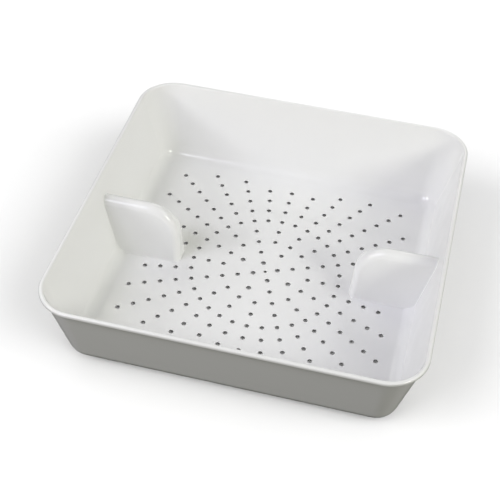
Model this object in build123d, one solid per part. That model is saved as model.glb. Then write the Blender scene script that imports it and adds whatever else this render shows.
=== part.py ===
from build123d import *
import os
from math import cos, hypot, radians, sin, tan

# A square draining tray moulded in one shot of white plastic: four drafted walls, rounded corners,
# a lip round the top, a flat floor full of drain holes and two upright finger grips.
# The one moulding is written as named regions that meet face to face.
# Frame: origin at the middle of the underside, +X to the right, +Y to the rear, +Z up, millimetres.

# Overall size
rim_width = 216.0  # square, over the lip
height = 52.8
rim_corner_radius = 23.0

# Lip round the top
lip_overhang = 1.2
lip_height = 2.3
lip_upper_round = 1.1
lip_lower_round = 0.5
lip_inner_round = 1.1

# Walls, measured on the outside and brought down to a sharp lower edge
wall_thickness = 1.2
wall_top_half = rim_width / 2 - lip_overhang
wall_base_half = 93.8
wall_top_radius = rim_corner_radius - lip_overhang
wall_base_radius = 11.2
heel_outer_round = 12.0
heel_inner_round = 8.5

# Floor. It is held off the table by the ring on which the tray stands, so that it can drain.
floor_top = 2.4
floor_thickness = 1.0
floor_half = 81.6
floor_corner_radius = 1.8

# Drain holes: a hole in the middle and rings about it, each given as spokes and degrees of turn.
# The diameters are those in the tray's inner face.
hole_diameter = 2.8
wide_hole_diameter = 3.2
centre_hole_diameter = 1.9
hole_flare = 1.2  # how much wider a hole is at the underside, so that it doesn't clog
first_ring_radius = 7.64
ring_pitch = 9.63
rings = [(4, 22.5), (8, 22.5), (16, 0), (16, 0)] + [(32, 0)] * 7
wide_holes = {(0, spoke) for spoke in range(4)} | {(1, 3), (1, 5), (1, 7)}  # ring and spoke
hole_field_half = 80.0  # the pattern is clipped to a square
grip_clear_radius = 50.0  # beyond this, the spokes under the grips have no holes

# Finger grips, upright plates in the plane y = 0, one against each side wall
grip_top = 41.1
grip_corner = (55.4, grip_top)  # where the ridge and the nose would meet if they weren't rounded off
grip_foot = (53.6, 0)
grip_round = 20.0
grip_half_thickness = 4.2  # at the ridge
grip_draft = 5.0  # degrees on each side
grip_edge_round = 4.3
grip_foot_round = 0.7
grip_skin = 1.4  # the grips are cored from below, to keep an even wall
core_outer_reach = 80.0

over = 2.0  # how far a cutter runs past the face it cuts
hole_over = 0.5  # the same for the drills, which taper
floor_middle = floor_top - floor_thickness / 2
wall_slope = (wall_top_half - wall_base_half) / height
radius_slope = (wall_top_radius - wall_base_radius) / height
wall_top = height - lip_height
seam_half = floor_half - floor_corner_radius  # the straight walls end here and the corners begin


def rounded_square(half, radius, z):
    """A flat square with rounded corners, lying at height z."""
    return Plane.XY.offset(z) * RectangleRounded(2 * half, 2 * half, radius)


def drafted_block(inset, z_low, z_high, heel_round):
    """The room inside the outer wall faces moved in by inset, between two heights, with a rounded heel."""

    def level(z):
        return rounded_square(
            wall_base_half + wall_slope * z - inset, wall_base_radius + radius_slope * z - inset, z
        )

    block = loft([level(z_low), level(z_high)], ruled=True)
    return fillet(block.edges().group_by(Axis.Z)[0], heel_round)


def slab(z_low, z_high):
    """Everything between two heights."""
    return Pos(0, 0, (z_low + z_high) / 2) * Box(2 * rim_width, 2 * rim_width, z_high - z_low)


def make_rim(cavity):
    """The lip, with its exposed edges rounded."""
    block = extrude(rounded_square(rim_width / 2, rim_corner_radius, wall_top), lip_height)
    block = fillet(block.edges().group_by(Axis.Z)[-1], lip_upper_round)
    block = fillet(block.edges().group_by(Axis.Z)[0], lip_lower_round)
    ring = block - cavity
    corner_centre = rim_width / 2 - rim_corner_radius

    def is_inner(edge):
        p = edge.center()
        reach = hypot(max(abs(p.X) - corner_centre, 0), max(abs(p.Y) - corner_centre, 0))
        return corner_centre + reach < wall_top_half - wall_thickness / 2

    return fillet(ring.edges().group_by(Axis.Z)[-1].filter_by(is_inner), lip_inner_round)


def grip_blank(shrink, reach, z_low):
    """A grip's plate with every face moved in by shrink, from z_low up and out to reach, full edges rounded."""
    (corner_x, corner_z), (foot_x, foot_z) = grip_corner, grip_foot
    edge = FilletPolyline(
        (reach, corner_z - shrink),
        (corner_x + shrink, corner_z - shrink),
        (foot_x + shrink, foot_z),
        radius=grip_round - shrink,
    )
    outline = make_face(edge + Polyline((foot_x + shrink, foot_z), (reach, foot_z), (reach, corner_z - shrink)))
    plate = extrude(Plane.XZ * outline, 4 * grip_half_thickness, both=True)
    top_z = grip_top + over
    half_top = grip_half_thickness - shrink - over * tan(radians(grip_draft))
    half_low = grip_half_thickness - shrink + grip_top * tan(radians(grip_draft))
    wedge = make_face(
        Polyline((-half_low, 0), (half_low, 0), (half_top, top_z), (-half_top, top_z), close=True)
    )
    plate &= extrude(Plane.YZ * wedge, 2 * reach, both=True)
    plate &= slab(z_low, top_z)

    def is_outline(edge):
        p = edge.center()
        return abs(p.Y) > 1 and p.Z > floor_top and p.X < reach - 1

    return fillet(plate.edges().filter_by(is_outline), grip_edge_round - shrink)


def make_grip(shell, cavity):
    """The right-hand grip, with the fillet where it grows out of wall and floor."""
    plate = grip_blank(0, rim_width / 2, floor_middle)
    plate &= drafted_block(wall_thickness / 2, floor_middle, height, heel_inner_round)
    joined = shell + plate
    joined = fillet(new_edges(shell, plate, combined=joined), grip_foot_round)
    return (joined & cavity) - make_core()


def make_core():
    """The pocket that a core leaves in the right-hand grip, open at the underside."""
    return grip_blank(grip_skin, core_outer_reach, 0)


def hole_places():
    """Each drain hole's place and diameter."""
    places = [(0, 0, centre_hole_diameter)]
    for ring, (spokes, turn) in enumerate(rings):
        radius = first_ring_radius + ring * ring_pitch
        for spoke in range(spokes):
            angle = radians(turn + 360 / spokes * spoke)
            x, y = radius * cos(angle), radius * sin(angle)
            under_grip = abs(y) < grip_half_thickness and radius > grip_clear_radius
            if max(abs(x), abs(y)) > hole_field_half or under_grip:
                continue
            wide = (ring, spoke) in wide_holes
            places.append((x, y, wide_hole_diameter if wide else hole_diameter))
    return places


def make_drill(x, y, diameter):
    """The tapered pin that leaves one drain hole."""
    length = floor_thickness + 2 * hole_over
    spread = hole_flare / 2 * hole_over / floor_thickness
    low, high = (diameter + hole_flare) / 2 + spread, diameter / 2 - spread
    return Pos(x, y, floor_middle) * Cone(low, high, length)


def make_floor(shell):
    """The flat floor with its drain holes and the mouths of the grips' pockets."""
    floor = shell & extrude(rounded_square(floor_half, floor_corner_radius, 0), 2 * floor_top)
    drills = [make_drill(*place) for place in hole_places()]
    core = make_core()
    return floor - drills - core - mirror(core, Plane.YZ)


def make_sides(shell):
    """The four walls and the four corners, each with its share of the rounded heel."""
    inside = extrude(rounded_square(floor_half, floor_corner_radius, 0), 2 * floor_top)
    ring = shell - inside
    far = rim_width
    middle = (seam_half + far) / 2
    wall = ring & (Pos(0, -middle, height / 2) * Box(2 * seam_half, far - seam_half, height))
    corner = ring & (Pos(-middle, -middle, height / 2) * Box(far - seam_half, far - seam_half, height))
    names = [
        ("front_wall", "front_left_corner"),
        ("right_wall", "front_right_corner"),
        ("rear_wall", "rear_right_corner"),
        ("left_wall", "rear_left_corner"),
    ]
    sides = {}
    for turn, (wall_name, corner_name) in enumerate(names):
        sides[wall_name] = Rot(0, 0, 90 * turn) * wall
        sides[corner_name] = Rot(0, 0, 90 * turn) * corner
    return sides


def make_parts():
    """Every region of the moulding, by name."""
    cavity = drafted_block(wall_thickness, floor_top, height + over, heel_inner_round)
    recess = extrude(rounded_square(floor_half, floor_corner_radius, 0), floor_top - floor_thickness)
    shell = (drafted_block(0, 0, height, heel_outer_round) & slab(0, wall_top)) - cavity - recess
    grip = make_grip(shell, cavity)
    parts = {"rim": make_rim(cavity), "perforated_floor": make_floor(shell)}
    parts.update(make_sides(shell))
    parts.update({"right_grip": grip, "left_grip": mirror(grip, Plane.YZ)})
    return parts


os.makedirs("parts", exist_ok=True)
for name, part in make_parts().items():
    export_step(part, f"parts/{name}.step")
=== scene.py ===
from math import atan, cos, pi, radians, sin, sqrt, tan

import bpy
import numpy as np
from mathutils import Matrix, Vector
from mathutils.geometry import delaunay_2d_cdt


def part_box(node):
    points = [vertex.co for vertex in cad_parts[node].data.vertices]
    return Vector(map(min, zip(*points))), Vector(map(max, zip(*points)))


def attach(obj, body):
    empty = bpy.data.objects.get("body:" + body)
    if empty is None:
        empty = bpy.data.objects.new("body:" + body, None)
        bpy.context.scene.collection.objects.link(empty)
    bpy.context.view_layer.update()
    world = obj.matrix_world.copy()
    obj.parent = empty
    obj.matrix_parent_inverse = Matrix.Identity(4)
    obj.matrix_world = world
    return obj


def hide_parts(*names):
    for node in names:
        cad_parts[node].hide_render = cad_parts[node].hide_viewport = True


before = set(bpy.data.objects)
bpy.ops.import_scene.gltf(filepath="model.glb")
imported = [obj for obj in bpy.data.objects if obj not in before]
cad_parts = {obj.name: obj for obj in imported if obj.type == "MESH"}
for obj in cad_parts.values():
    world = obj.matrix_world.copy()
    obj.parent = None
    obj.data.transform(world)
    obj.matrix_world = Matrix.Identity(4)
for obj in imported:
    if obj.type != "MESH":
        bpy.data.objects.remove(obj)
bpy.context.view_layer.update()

MM = 0.001

# Sizes in millimetres. The frame says where things are, and the rest are the moulding's own sizes.
rim_low, rim_high = (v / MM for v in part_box("rim"))
floor_low, floor_high = (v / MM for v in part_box("perforated_floor"))
wall_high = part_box("right_wall")[1] / MM
RIM_HALF, RIM_TOP, LIP_BASE = rim_high.x, rim_high.z, rim_low.z
FLOOR_TOP, FLOOR_BASE = floor_high.z, floor_low.z
FLOOR_SEAM, STRAIGHT_HALF = floor_high.x, wall_high.y

WALL_BASE_HALF, WALL_TOP_HALF = 93.8, 106.8
WALL_BASE_RADIUS, WALL_TOP_RADIUS = 11.2, 21.8
WALL_THICKNESS = 1.2
WALL_SLOPE = (WALL_TOP_HALF - WALL_BASE_HALF) / RIM_TOP
RADIUS_SLOPE = (WALL_TOP_RADIUS - WALL_BASE_RADIUS) / RIM_TOP
DRAFT = atan(WALL_SLOPE)
RIM_RADIUS = 23.0
RIM_CORNER_CENTRE = RIM_HALF - RIM_RADIUS
HEEL_OUTER, HEEL_INNER = 12.0, 8.5
SEAM_RADIUS = FLOOR_SEAM - STRAIGHT_HALF
LIP_UPPER_ROUND, LIP_LOWER_ROUND, LIP_INNER_ROUND = 1.1, 0.5, 1.1

HOLE, WIDE_HOLE, CENTRE_HOLE, HOLE_FLARE, HOLE_EDGE = 2.8, 3.2, 1.9, 1.2, 0.1
FIRST_RING, RING_PITCH, HOLE_FIELD = 7.64, 9.63, 80.0
RINGS = [(4, 22.5), (8, 22.5), (16, 0), (16, 0)] + [(32, 0)] * 7  # spokes, degrees of turn
WIDE_HOLES = {(0, spoke) for spoke in range(4)} | {(1, 3), (1, 5), (1, 7)}  # ring, spoke

GRIP_TOP, GRIP_CORNER_X, GRIP_FOOT_X = 41.1, 55.4, 53.6
GRIP_ROUND, GRIP_EDGE, GRIP_FILLET = 20.0, 4.3, 0.7
GRIP_HALF, GRIP_DRAFT = 4.2, radians(5.0)
GRIP_SKIN, CORE_REACH, GRIP_CLEAR = 1.4, 80.0, 50.0

# How finely the meshes are divided
STRAIGHT_STEPS, CORNER_STEPS, RISE_STEPS = 10, 28, 8
HEEL_STEPS, EDGE_STEPS, HOLE_STEPS, HOLE_EDGE_STEPS = 16, 6, 24, 4
CLOSE = 1e-6  # points nearer than this are one point
GRIP_CELL = 0.5  # the net from which a grip's surface is made
GRIP_MARGIN = 1.0  # how far the net reaches past the grip and its fillet
GRIP_END = 103.6  # the net's last plane lies past this and past the grip's root in the side wall
SETTLE_PASSES = 6  # how often the net's points are drawn onto the surface
LEAST_SLOPE = 0.3  # keeps a point in a sharp crease from being thrown far
GRIP_AGREE = 0.3  # a face of the net that agrees less than this with its normals is flat
SEAM_DEPTH = 0.05  # how far a grip's foot lies under the skin of floor and wall
FOOT_DEPTH = 0.8  # how far down a grip's foot goes
FOOT_SPREAD = 0.2  # how far a grip's foot stands out past its fillet, out of sight

# The studio, in metres
STAGE_HALF = 20.0
TARGET = Vector((0, 0, RIM_TOP * MM / 2))
CAMERA_AIM = Vector((-0.00247, -0.0334, 0.05296))
CAMERA_DISTANCE = 0.6183
CAMERA_AZIMUTH, CAMERA_ELEVATION, CAMERA_ROLL = 13.01, 44.96, 1.923
SENSOR_WIDTH, FOCAL_LENGTH = 36.0, 78.41
WORLD_STRENGTH = 0.05
SOFTBOX_DISTANCE = 1.5
SUN_SPREAD = radians(50)

# Softboxes for the tray: name, azimuth, elevation, watts, colour, width
SOFTBOXES = [
    ("front_left_softbox", 240, 30, 7.0, (0.97, 0.97, 1.0), 0.4),
    ("front_right_softbox", 120, 30, 7.9, (1.0, 1.0, 0.9), 0.4),
    ("front_left_high_softbox", 225, 50, 7.7, (0.89, 0.87, 1.0), 0.6),
    ("front_left_low_softbox", 225, 10, 3.0, (1.0, 0.98, 0.71), 0.6),
    ("right_high_softbox", 90, 50, 4.1, (0.98, 1.0, 0.95), 0.6),
    ("right_low_softbox", 90, 10, 3.3, (1.0, 0.95, 0.87), 0.6),
    ("rear_softbox", 0, 30, 3.2, (1.0, 0.98, 0.97), 0.6),
    ("rear_left_high_softbox", 315, 50, 2.2, (0.99, 1.0, 0.81), 0.6),
]
BACKDROP_WATTS, BACKDROP_WIDTH, BACKDROP_LAMP_HEIGHT = 69, 6.0, 1.5
# Soft slanting lights for the backdrop: name, azimuth, elevation, strength
BACKDROP_SUNS = [
    ("backdrop_left_sun", 235, 33, 1.95),
    ("backdrop_right_sun", 108, 33, 1.95),
]

# The tray and the backdrop each have lamps of their own.
TRAY = bpy.data.collections.new("tray")
BACKDROP = bpy.data.collections.new("backdrop")
for group in (TRAY, BACKDROP):
    bpy.context.scene.collection.children.link(group)


# ------------------------------ meshes with a normal at every face corner
class Skin:
    """Faces with a normal at each corner, welded by place into one mesh."""

    def __init__(self):
        self.points, self.faces, self.normals, self.index = [], [], [], {}

    def vertex(self, point):
        key = tuple(round(float(c), 4) for c in point)
        if key not in self.index:
            self.index[key] = len(self.points)
            self.points.append([float(c) * MM for c in point])
        return self.index[key]

    def face(self, points, normals=None):
        """One face. Points that fall together count once, and without normals the face is flat."""
        corners, kept = [], []
        for k, point in enumerate(points):
            v = self.vertex(point)
            if v not in corners:
                corners.append(v)
                kept.append(k)
        if len(corners) < 3:
            return
        if normals is None:
            p = np.array([self.points[v] for v in corners])
            n = np.cross(p - p.mean(0), np.roll(p, -1, 0) - p.mean(0)).sum(0)
            normals = [n / np.linalg.norm(n)] * len(points)
        self.faces.append(corners)
        self.normals.extend([float(c) for c in normals[k]] for k in kept)

    def grid(self, points, normals):
        """Quads over rows of points, with a normal at each point."""
        for i in range(len(points) - 1):
            for j in range(len(points[0]) - 1):
                ring = [(i, j), (i + 1, j), (i + 1, j + 1), (i, j + 1)]
                self.face([points[a][b] for a, b in ring], [normals[a][b] for a, b in ring])

    def piece(self, node, material):
        """Makes the finished mesh object, which stands for a CAD node."""
        mesh = bpy.data.meshes.new(node + "_skin")
        mesh.from_pydata(self.points, [], self.faces)
        mesh.polygons.foreach_set("use_smooth", [True] * len(mesh.polygons))
        mesh.normals_split_custom_set(self.normals)
        mesh.materials.append(material)
        piece = bpy.data.objects.new(node + "_skin", mesh)
        TRAY.objects.link(piece)
        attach(piece, "root")
        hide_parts(node)


# ------------------------------ walls and lip: a profile carried round a square
# A level of the profile is (half width, corner radius, height, lean).
# The lean is the angle of the normal in the profile's plane: 0 points outward, pi / 2 up, pi inward.


def wall_level(z, inset, lean):
    """The level that a wall face, moved in by inset, makes at height z."""
    half = WALL_BASE_HALF + WALL_SLOPE * z - inset
    return half, WALL_BASE_RADIUS + RADIUS_SLOPE * z - inset, z, lean


def heel_centre(inset, base, radius):
    """Where the arc of a rounded heel has its centre: distance out and height."""
    corner = WALL_BASE_HALF + WALL_SLOPE * base - inset
    return corner - radius / tan((pi / 2 + DRAFT) / 2), base + radius


def heel(inset, base, radius, facing):
    """The levels of a rounded heel, from the flat up to the wall. Facing is 0 outside and pi inside."""
    centre_half, centre_z = heel_centre(inset, base, radius)
    levels = []
    for a in np.linspace(-pi / 2, -DRAFT, HEEL_STEPS + 1):
        half, z = centre_half + radius * cos(a), centre_z + radius * sin(a)
        corner = WALL_BASE_RADIUS + RADIUS_SLOPE * z - (WALL_BASE_HALF + WALL_SLOPE * z - half)
        levels.append((half, corner, z, a + facing))
    return levels


def lip_round(centre_half, centre_z, radius, start, end):
    """The levels of one rounded edge of the lip."""
    levels = []
    for a in np.linspace(start, end, EDGE_STEPS + 1):
        half = centre_half + radius * cos(a)
        levels.append((half, half - RIM_CORNER_CENTRE, centre_z + radius * sin(a), a))
    return levels


def inner_levels():
    """From the floor's seam up the inside of the wall to the lip."""
    rising = heel(WALL_THICKNESS, FLOOR_TOP, HEEL_INNER, pi)
    heights = np.linspace(rising[-1][2], LIP_BASE, RISE_STEPS + 1)[1:]
    flat = [(FLOOR_SEAM, SEAM_RADIUS, FLOOR_TOP, pi / 2)]
    return flat + rising + [wall_level(z, WALL_THICKNESS, pi - DRAFT) for z in heights]


def outer_levels():
    """From the lip down the outside of the wall to the seam under the floor."""
    falling = heel(0, 0, HEEL_OUTER, 0)[::-1]
    heights = np.linspace(LIP_BASE, falling[0][2], RISE_STEPS + 1)[:-1]
    flat = [(FLOOR_SEAM, SEAM_RADIUS, 0, -pi / 2)]
    return [wall_level(z, 0, -DRAFT) for z in heights] + falling + flat


def lip_levels():
    """From the inner wall over the lip and back in under it."""
    z = RIM_TOP - LIP_INNER_ROUND
    inner_half = WALL_BASE_HALF - WALL_THICKNESS + WALL_SLOPE * z + LIP_INNER_ROUND / cos(DRAFT)
    levels = [wall_level(LIP_BASE, WALL_THICKNESS, pi - DRAFT)]
    levels += lip_round(inner_half, z, LIP_INNER_ROUND, pi - DRAFT, pi / 2)
    upper, lower = LIP_UPPER_ROUND, LIP_LOWER_ROUND
    levels += lip_round(RIM_HALF - upper, RIM_TOP - upper, upper, pi / 2, 0)
    levels += lip_round(RIM_HALF - lower, LIP_BASE + lower, lower, 0, -pi / 2)
    return levels + [wall_level(LIP_BASE, 0, -pi / 2)]


def around(level):
    """Points and normals of one level, one full turn. Each quarter is a straight and then a corner."""
    half, radius, z, lean = level
    centre = half - radius
    straight = np.linspace(-STRAIGHT_HALF, STRAIGHT_HALF, STRAIGHT_STEPS + 1)
    quarter = [((x, -half), -pi / 2) for x in straight]
    for a in np.linspace(-pi / 2, 0, CORNER_STEPS + 1):
        quarter.append(((centre + radius * cos(a), -centre + radius * sin(a)), a))
    points, normals = [], []
    for turn in range(4):
        c, s = cos(turn * pi / 2), sin(turn * pi / 2)
        for (x, y), a in quarter:
            out = a + turn * pi / 2
            points.append((c * x - s * y, s * x + c * y, z))
            normals.append((cos(lean) * cos(out), cos(lean) * sin(out), sin(lean)))
    return points + points[:1], normals + normals[:1]


def strip(levels):
    """The points and the normals of several levels, as arrays of [level, place round the turn]."""
    turns = [around(level) for level in levels]
    return np.array([t[0] for t in turns]), np.array([t[1] for t in turns])


def leaning(level, lean):
    """A level with another lean."""
    return (*level[:3], lean)


def make_walls(material):
    """The four walls and the four corners, each a closed piece."""
    inner, outer = inner_levels(), outer_levels()
    strips = [
        strip(inner),
        strip([leaning(inner[-1], pi / 2), leaning(outer[0], pi / 2)]),
        strip(outer),
        strip([leaning(outer[-1], pi), leaning(inner[0], pi)]),
    ]
    names = [
        ("front_wall", "front_right_corner"),
        ("right_wall", "rear_right_corner"),
        ("rear_wall", "rear_left_corner"),
        ("left_wall", "front_left_corner"),
    ]
    places_in_quarter = STRAIGHT_STEPS + CORNER_STEPS + 2
    for turn, (wall, corner) in enumerate(names):
        start = turn * places_in_quarter
        end = start + STRAIGHT_STEPS
        for node, first, last in ((wall, start, end), (corner, end, start + places_in_quarter)):
            skin = Skin()
            for points, normals in strips:
                skin.grid(points[:, first : last + 1], normals[:, first : last + 1])
            for column, step in ((first, -1), (last, 1)):
                loop = np.concatenate([strips[0][0][:, column], strips[2][0][:, column]])
                skin.face(loop[::step])
            skin.piece(node, material)


def make_rim(material):
    """The lip, one closed ring."""
    levels = lip_levels()
    skin = Skin()
    skin.grid(*strip(levels))
    skin.grid(*strip([levels[-1], leaning(levels[0], -pi / 2)]))
    skin.piece("rim", material)


# ------------------------------ the floor and its drain holes
def hole_places():
    """Each drain hole's place and its diameter in the upper face."""
    places = [(0, 0, CENTRE_HOLE)]
    for ring, (spokes, turn) in enumerate(RINGS):
        radius = FIRST_RING + ring * RING_PITCH
        for spoke in range(spokes):
            angle = radians(turn + 360 / spokes * spoke)
            x, y = radius * cos(angle), radius * sin(angle)
            under_grip = abs(y) < GRIP_HALF and radius > GRIP_CLEAR
            if max(abs(x), abs(y)) > HOLE_FIELD or under_grip:
                continue
            places.append((x, y, WIDE_HOLE if (ring, spoke) in WIDE_HOLES else HOLE))
    return places


def circle(x, y, radius, z):
    """Points round a hole, clockwise from above."""
    turns = np.linspace(2 * pi, 0, HOLE_STEPS + 1)
    return [(x + radius * cos(a), y + radius * sin(a), z) for a in turns]


def hole_rows(x, y, diameter):
    """The wall of one hole from the upper face down: rows of points and of normals."""
    bore, mouth = diameter / 2, (diameter + HOLE_FLARE) / 2
    slope = atan((mouth - bore) / (FLOOR_TOP - FLOOR_BASE))
    rows = [
        (bore + HOLE_EDGE * (1 - cos(a)), FLOOR_TOP - HOLE_EDGE * (1 - sin(a)), a)
        for a in np.linspace(pi / 2, -slope, HOLE_EDGE_STEPS + 1)
    ]
    rows.append((mouth, FLOOR_BASE, -slope))
    points = [circle(x, y, radius, z) for radius, z, _ in rows]
    turns = np.linspace(2 * pi, 0, HOLE_STEPS + 1)
    normals = [
        [(-cos(lean) * cos(a), -cos(lean) * sin(a), sin(lean)) for a in turns] for *_, lean in rows
    ]
    return points, normals


def pocket_mouth(z, side):
    """The corners of a grip's pocket where it passes the height z, anticlockwise."""
    near, half = nose_x(z) + GRIP_SKIN / cos(NOSE_LEAN), plate_half(z) - GRIP_SKIN
    corners = [(near, -half, z), (CORE_REACH, -half, z), (CORE_REACH, half, z), (near, half, z)]
    return corners if side > 0 else [(-x, y, z) for x, y, _ in corners[::-1]]


def inside(points, loop):
    """Which of the points lie inside a closed loop."""
    corners = np.array([p[:2] for p in loop])
    low, high = corners.min(0), corners.max(0)
    result = np.all((points > low) & (points < high), axis=1)
    x, y = points[result].T
    odd = np.zeros(len(x), bool)
    for (ax, ay), (bx, by) in zip(corners, np.roll(corners, -1, 0)):
        if ay != by:
            odd ^= ((ay > y) != (by > y)) & (x < (bx - ax) * (y - ay) / (by - ay) + ax)
    result[result] = odd
    return result


def plate_faces(skin, outline, holes, up):
    """A flat face at one height: the outline filled, with every hole left open."""
    loops = [outline] + holes
    points = [point for loop in loops for point in loop]
    edges, start = [], 0
    for loop in loops:
        edges += [(start + k, start + (k + 1) % len(loop)) for k in range(len(loop))]
        start += len(loop)
    flat = [Vector(p[:2]) for p in points]
    _, _, triangles, sources, *_ = delaunay_2d_cdt(flat, edges, [], 0, CLOSE)
    # The corners are looked up in the given points, because those that come back are rounded.
    triangles = np.array([[points[sources[v][0]] for v in triangle] for triangle in triangles])
    middles = triangles.mean(1)[:, :2]
    keep = inside(middles, outline)
    for loop in holes:
        keep &= ~inside(middles, loop)
    normal = (0, 0, 1 if up else -1)
    for corners in triangles[keep]:
        turns_left = np.cross(corners[1] - corners[0], corners[2] - corners[0])[2] > 0
        skin.face(corners if turns_left == up else corners[::-1], [normal] * 3)


def make_floor(material):
    """The floor plate with its drain holes and the mouths of the grips' pockets."""
    skin = Skin()
    rows = [hole_rows(*place) for place in hole_places()]
    for points, normals in rows:
        skin.grid(points, normals)
    for side in (1, -1):
        upper, lower = pocket_mouth(FLOOR_TOP, side), pocket_mouth(FLOOR_BASE, side)
        for k in range(4):
            skin.face([upper[k], lower[k], lower[k - 1], upper[k - 1]])
    seam_top = (FLOOR_SEAM, SEAM_RADIUS, FLOOR_TOP, 0)
    seam_low = (FLOOR_SEAM, SEAM_RADIUS, FLOOR_BASE, 0)
    skin.grid(*strip([seam_top, seam_low]))
    for level, row, up in ((seam_top, 0, True), (seam_low, -1, False)):
        holes = [points[row][:-1] for points, _ in rows]
        holes += [pocket_mouth(level[2], side) for side in (1, -1)]
        outline = []
        for point in around(level)[0][:-1]:
            if not outline or (Vector(point) - Vector(outline[-1])).length > CLOSE:
                outline.append(point)
        plate_faces(skin, outline, holes, up)
    skin.piece("perforated_floor", material)


# ------------------------------ the finger grips, as distance fields
NOSE_LEAN = atan((GRIP_CORNER_X - GRIP_FOOT_X) / GRIP_TOP)


def nose_x(z):
    """Where the nose of the right-hand grip is at height z."""
    return GRIP_FOOT_X + (GRIP_CORNER_X - GRIP_FOOT_X) * z / GRIP_TOP


def plate_half(z):
    """Half the grip's thickness at height z, before its edges are rounded."""
    return GRIP_HALF + (GRIP_TOP - z) * tan(GRIP_DRAFT)


def outline_distance(x, z):
    """How far a point is outside the grip's outline: a top line, a big round and a nose line."""
    centre_z = GRIP_TOP - GRIP_ROUND
    centre_x = nose_x(centre_z) + GRIP_ROUND / cos(NOSE_LEAN)
    dx, dz = x - centre_x, z - centre_z
    straight = np.maximum(z - GRIP_TOP, (nose_x(z) - x) * cos(NOSE_LEAN))
    in_round = (dx < 0) & (dx * sin(NOSE_LEAN) + dz * cos(NOSE_LEAN) > 0)
    return np.where(in_round, np.hypot(dx, dz) - GRIP_ROUND, straight)


def side_distance(y, z):
    """How far a point is outside the grip's two faces."""
    return (abs(y) - plate_half(z)) * cos(GRIP_DRAFT)


def plate_distance(p):
    """How far a point is outside the grip's plate, with its rounded edge."""
    x, y, z = p
    a, b = outline_distance(x, z) + GRIP_EDGE, side_distance(y, z) + GRIP_EDGE
    return np.minimum(np.maximum(a, b), 0) + np.hypot(np.maximum(a, 0), np.maximum(b, 0)) - GRIP_EDGE


def room_distance(p):
    """How far a point stands off floor, heel and side wall."""
    x, _, z = p
    wall = (WALL_BASE_HALF - WALL_THICKNESS + WALL_SLOPE * z - x) * cos(DRAFT)
    centre_x, centre_z = heel_centre(WALL_THICKNESS, FLOOR_TOP, HEEL_INNER)
    dx, dz = x - centre_x, z - centre_z
    in_heel = (dx > 0) & (dx * sin(DRAFT) + dz * cos(DRAFT) < 0)
    return np.where(in_heel, HEEL_INNER - np.hypot(dx, dz), np.minimum(z - FLOOR_TOP, wall))


def pocket_distance(p):
    """How far a point is outside the pocket that cores the grip from below."""
    return np.maximum(plate_distance(p) + GRIP_SKIN, p[0] - CORE_REACH)


def grown_distance(p):
    """How far a point is outside plate and shell together, with a fillet where they meet."""
    plate, room = plate_distance(p), room_distance(p) + SEAM_DEPTH
    a, b = np.maximum(GRIP_FILLET - plate, 0), np.maximum(GRIP_FILLET - room, 0)
    return np.maximum(GRIP_FILLET, np.minimum(plate, room)) - np.hypot(a, b)


def grip_distance(p):
    """How far a point is outside the grip: the grown shape, cut off under the shell's skin and cored."""
    foot = np.maximum(plate_distance(p) - GRIP_FILLET - FOOT_SPREAD, -room_distance(p) - FOOT_DEPTH)
    return np.maximum(np.maximum(grown_distance(p), foot), -pocket_distance(p))


def grip_shade(p):
    """A field whose gradient is the grip's normal, blended into the shell's own where they meet."""
    meet = sqrt(2 * GRIP_FILLET * SEAM_DEPTH)
    a = np.maximum(GRIP_FILLET - meet - plate_distance(p), 0)
    b = np.maximum(GRIP_FILLET - room_distance(p), 0)
    pocket = pocket_distance(p)
    return np.where(abs(pocket) < abs(grown_distance(p)), -pocket, -np.hypot(a, b))


def gradient(field, p):
    """The gradient of a field at many points."""
    step = 1e-3
    rows = []
    for axis in range(3):
        shift = np.zeros((3, 1))
        shift[axis] = step
        rows.append((field(p + shift) - field(p - shift)) / (2 * step))
    return np.array(rows)


def net_surface(field, low, high, cell):
    """The surface where a field is zero: a point in each cell that it crosses and quads between them."""
    axes = [np.arange(a, b + cell, cell) for a, b in zip(low, high)]
    lattice = np.array(np.meshgrid(*axes, indexing="ij"))
    value = field(lattice.reshape(3, -1)).reshape(lattice.shape[1:])
    total, count = np.zeros(lattice.shape), np.zeros(value.shape)
    crossings = []
    for axis in range(3):
        along = np.eye(3, dtype=int)[axis]
        end = tuple(slice(None, -1) if a else slice(None) for a in along)
        ahead = tuple(slice(1, None) if a else slice(None) for a in along)
        crossed = np.argwhere((value[end] < 0) != (value[ahead] < 0)).T
        v0, v1 = value[tuple(crossed)], value[tuple(crossed + along[:, None])]
        points = lattice[(slice(None), *crossed)] + along[:, None] * cell * (v0 / (v0 - v1))
        side, up = np.eye(3, dtype=int)[(axis + 1) % 3], np.eye(3, dtype=int)[(axis + 2) % 3]
        square = ((0, 0), (1, 0), (1, 1), (0, 1))
        around_edge = [crossed - (a * side + b * up)[:, None] for a, b in square]
        for near in around_edge:
            np.add.at(count, tuple(near), 1)
            for k in range(3):
                np.add.at(total[k], tuple(near), points[k])
        quads = np.array(around_edge)
        quads[:, :, v1 < 0] = quads[::-1][:, :, v1 < 0]
        crossings.append(quads)
    cells = np.argwhere(count > 0).T
    number = np.zeros(value.shape, int)
    number[tuple(cells)] = np.arange(cells.shape[1])
    points = total[(slice(None), *cells)] / count[tuple(cells)]
    for _ in range(SETTLE_PASSES):
        slope = gradient(field, points)
        points = points - slope * field(points) / np.maximum((slope * slope).sum(0), LEAST_SLOPE)
    faces = np.concatenate([number[q[:, 0], q[:, 1], q[:, 2]] for q in crossings], axis=1).T
    return points, faces


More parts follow.
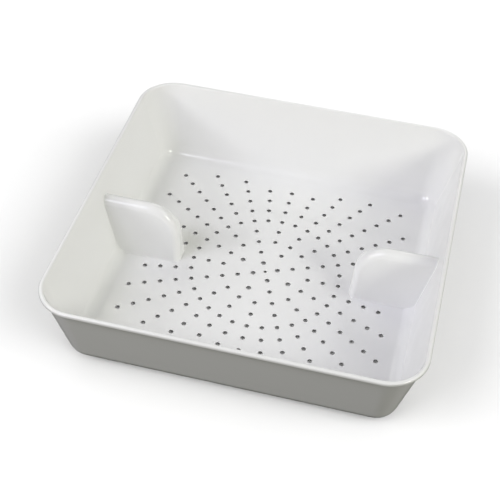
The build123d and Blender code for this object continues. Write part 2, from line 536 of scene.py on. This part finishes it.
def make_grips(material):
    """The two grips, one the mirror image of the other."""
    margin = GRIP_FILLET + GRIP_MARGIN
    low = (GRIP_FOOT_X - margin, -plate_half(0) - margin, FLOOR_TOP - FOOT_DEPTH - GRIP_MARGIN)
    high = (GRIP_END, plate_half(0) + margin, GRIP_TOP + margin)
    points, faces = net_surface(grip_distance, low, high, GRIP_CELL)
    normals = gradient(grip_shade, points)
    normals /= np.linalg.norm(normals, axis=0)
    points, normals = points.T, normals.T
    for node, mirror in (("right_grip", 1), ("left_grip", -1)):
        skin = Skin()
        for face in faces:
            order = face[::mirror]
            corners, shades = points[order] * (mirror, 1, 1), normals[order] * (mirror, 1, 1)
            across = np.cross(corners[2] - corners[0], corners[3] - corners[1])
            across /= np.linalg.norm(across)
            skin.face(corners, shades if (shades @ across).min() > GRIP_AGREE else None)
        skin.piece(node, material)


# ------------------------------ materials
class Nodes:
    """A small helper for building a node tree."""

    def __init__(self, name):
        self.material = bpy.data.materials.new(name)
        self.material.use_nodes = True
        self.tree = self.material.node_tree
        self.shader = self.tree.nodes["Principled BSDF"]
        self.place = self.add("ShaderNodeTexCoord").outputs["Object"]

    def add(self, kind, **inputs):
        node = self.tree.nodes.new(kind)
        for name, value in inputs.items():
            self.put(node.inputs[name.replace("_", " ")], value)
        return node

    def put(self, socket, value):
        if isinstance(value, bpy.types.NodeSocket):
            self.tree.links.new(value, socket)
        else:
            socket.default_value = value

    def noise(self, scale, detail=2.0, roughness=0.5):
        """Noise over the object, with scale in cells per metre."""
        noise = {"Vector": self.place, "Scale": scale, "Detail": detail, "Roughness": roughness}
        return self.add("ShaderNodeTexNoise", **noise).outputs["Fac"]

    def spread(self, value, low, high, start=0.3, end=0.7):
        """A value stretched from start..end to low..high."""
        node = self.add("ShaderNodeMapRange", Value=value)
        for name, number in (("From Min", start), ("From Max", end), ("To Min", low), ("To Max", high)):
            node.inputs[name].default_value = number
        return node.outputs["Result"]

    def mix(self, factor, first, second):
        """Two colours mixed."""
        node = self.tree.nodes.new("ShaderNodeMix")
        node.data_type = "RGBA"
        self.put(node.inputs[0], factor)
        self.put(node.inputs[6], (*first, 1.0))
        self.put(node.inputs[7], (*second, 1.0))
        return node.outputs[2]

    def bump(self, height, strength, distance, under=None):
        """A bump, on top of another if one is given."""
        node = self.add("ShaderNodeBump", Height=height, Strength=strength, Distance=distance)
        if under:
            self.put(node.inputs["Normal"], under)
        return node.outputs["Normal"]


def white_plastic():
    """Glossy white moulded plastic: a fine grain over very slight sink and flow ripple."""
    n = Nodes("white_plastic")
    colour = n.mix(n.noise(22.0, 3.0), (0.845, 0.85, 0.85), (0.87, 0.87, 0.868))
    n.put(n.shader.inputs["Base Color"], colour)
    n.put(n.shader.inputs["Roughness"], n.spread(n.noise(90.0, 4.0), 0.13, 0.19))
    sink = n.bump(n.noise(35.0, 1.0), 0.25, 0.0004)
    ripple = n.bump(n.noise(420.0, 2.0), 0.1, 0.00006, sink)
    grain = n.bump(n.noise(2600.0, 3.0, 0.65), 0.1, 0.00002, ripple)
    n.put(n.shader.inputs["Normal"], grain)
    n.shader.inputs["IOR"].default_value = 1.49
    return n.material


def studio_floor():
    """Plain pale matt."""
    n = Nodes("studio_floor")
    n.shader.inputs["Base Color"].default_value = (0.9, 0.9, 0.9, 1.0)
    n.shader.inputs["Roughness"].default_value = 0.9
    n.shader.inputs["Specular IOR Level"].default_value = 0.2
    return n.material


# ------------------------------ the studio
def make_stage():
    """The flat ground under the tray, hidden from diffuse and glossy rays."""
    mesh = bpy.data.meshes.new("studio_floor")
    h = STAGE_HALF
    corners = [(x, y, 0) for x, y in ((-h, -h), (h, -h), (h, h), (-h, h))]
    mesh.from_pydata(corners, [], [range(4)])
    mesh.materials.append(studio_floor())
    floor = bpy.data.objects.new("studio_floor", mesh)
    BACKDROP.objects.link(floor)
    floor.visible_diffuse = floor.visible_glossy = False


def square_light(name, power, width):
    """The light of a square area lamp."""
    light = bpy.data.lights.new(name, "AREA")
    light.shape = "SQUARE"
    light.size = width
    light.energy = power
    return light


def bearing(azimuth, elevation):
    """The direction toward a lamp. Azimuth 0 is behind the tray and 90 to its right, in degrees."""
    a, e = radians(azimuth), radians(elevation)
    return Vector((sin(a) * cos(e), cos(a) * cos(e), sin(e)))


def add_lamp(light, place, lit, away=None):
    """A lamp that lights one collection only. It faces against the direction away, or else down."""
    lamp = bpy.data.objects.new(light.name, light)
    lamp.location = place
    if away is not None:
        lamp.rotation_mode = "QUATERNION"
        lamp.rotation_quaternion = away.to_track_quat("Z", "Y")
    lamp.light_linking.receiver_collection = lit
    bpy.context.scene.collection.objects.link(lamp)


def light_tray():
    """The softboxes, which look at the middle of the tray and light nothing else."""
    for name, azimuth, elevation, power, colour, width in SOFTBOXES:
        light = square_light(name, power, width)
        light.color = colour
        away = bearing(azimuth, elevation)
        add_lamp(light, TARGET + away * SOFTBOX_DISTANCE, TRAY, away)


def light_backdrop():
    """A wide light overhead and two slanting ones, which keep the shadow before the tray pale."""
    overhead = square_light("backdrop_light", BACKDROP_WATTS, BACKDROP_WIDTH)
    add_lamp(overhead, Vector((0, 0, BACKDROP_LAMP_HEIGHT)), BACKDROP)
    for name, azimuth, elevation, strength in BACKDROP_SUNS:
        light = bpy.data.lights.new(name, "SUN")
        light.energy = strength
        light.angle = SUN_SPREAD
        add_lamp(light, Vector((0, 0, 0)), BACKDROP, bearing(azimuth, elevation))


def make_camera():
    """A long lens that looks down on the tray from the front, a little from the right."""
    lens = bpy.data.cameras.new("camera")
    lens.sensor_width = SENSOR_WIDTH
    lens.lens = FOCAL_LENGTH
    a, e, roll = radians(CAMERA_AZIMUTH), radians(CAMERA_ELEVATION), radians(CAMERA_ROLL)
    level = Vector((cos(a), sin(a), 0))
    back = Vector((sin(a) * cos(e), -cos(a) * cos(e), sin(e)))
    upright = back.cross(level)
    right = level * cos(roll) + upright * sin(roll)
    camera = bpy.data.objects.new("camera", lens)
    turn = Matrix((right, back.cross(right), back)).transposed()
    camera.matrix_world = Matrix.Translation(CAMERA_AIM + back * CAMERA_DISTANCE) @ turn.to_4x4()
    bpy.context.scene.collection.objects.link(camera)
    bpy.context.scene.camera = camera


def make_world():
    """Even dim white from all round."""
    world = bpy.data.worlds.new("studio")
    world.use_nodes = True
    background = world.node_tree.nodes["Background"]
    background.inputs["Color"].default_value = (1.0, 1.0, 1.0, 1.0)
    background.inputs["Strength"].default_value = WORLD_STRENGTH
    bpy.context.scene.world = world


plastic = white_plastic()
make_walls(plastic)
make_rim(plastic)
make_floor(plastic)
make_grips(plastic)

make_stage()
make_world()
light_tray()
light_backdrop()
bpy.context.scene.view_settings.view_transform = "Standard"
make_camera()
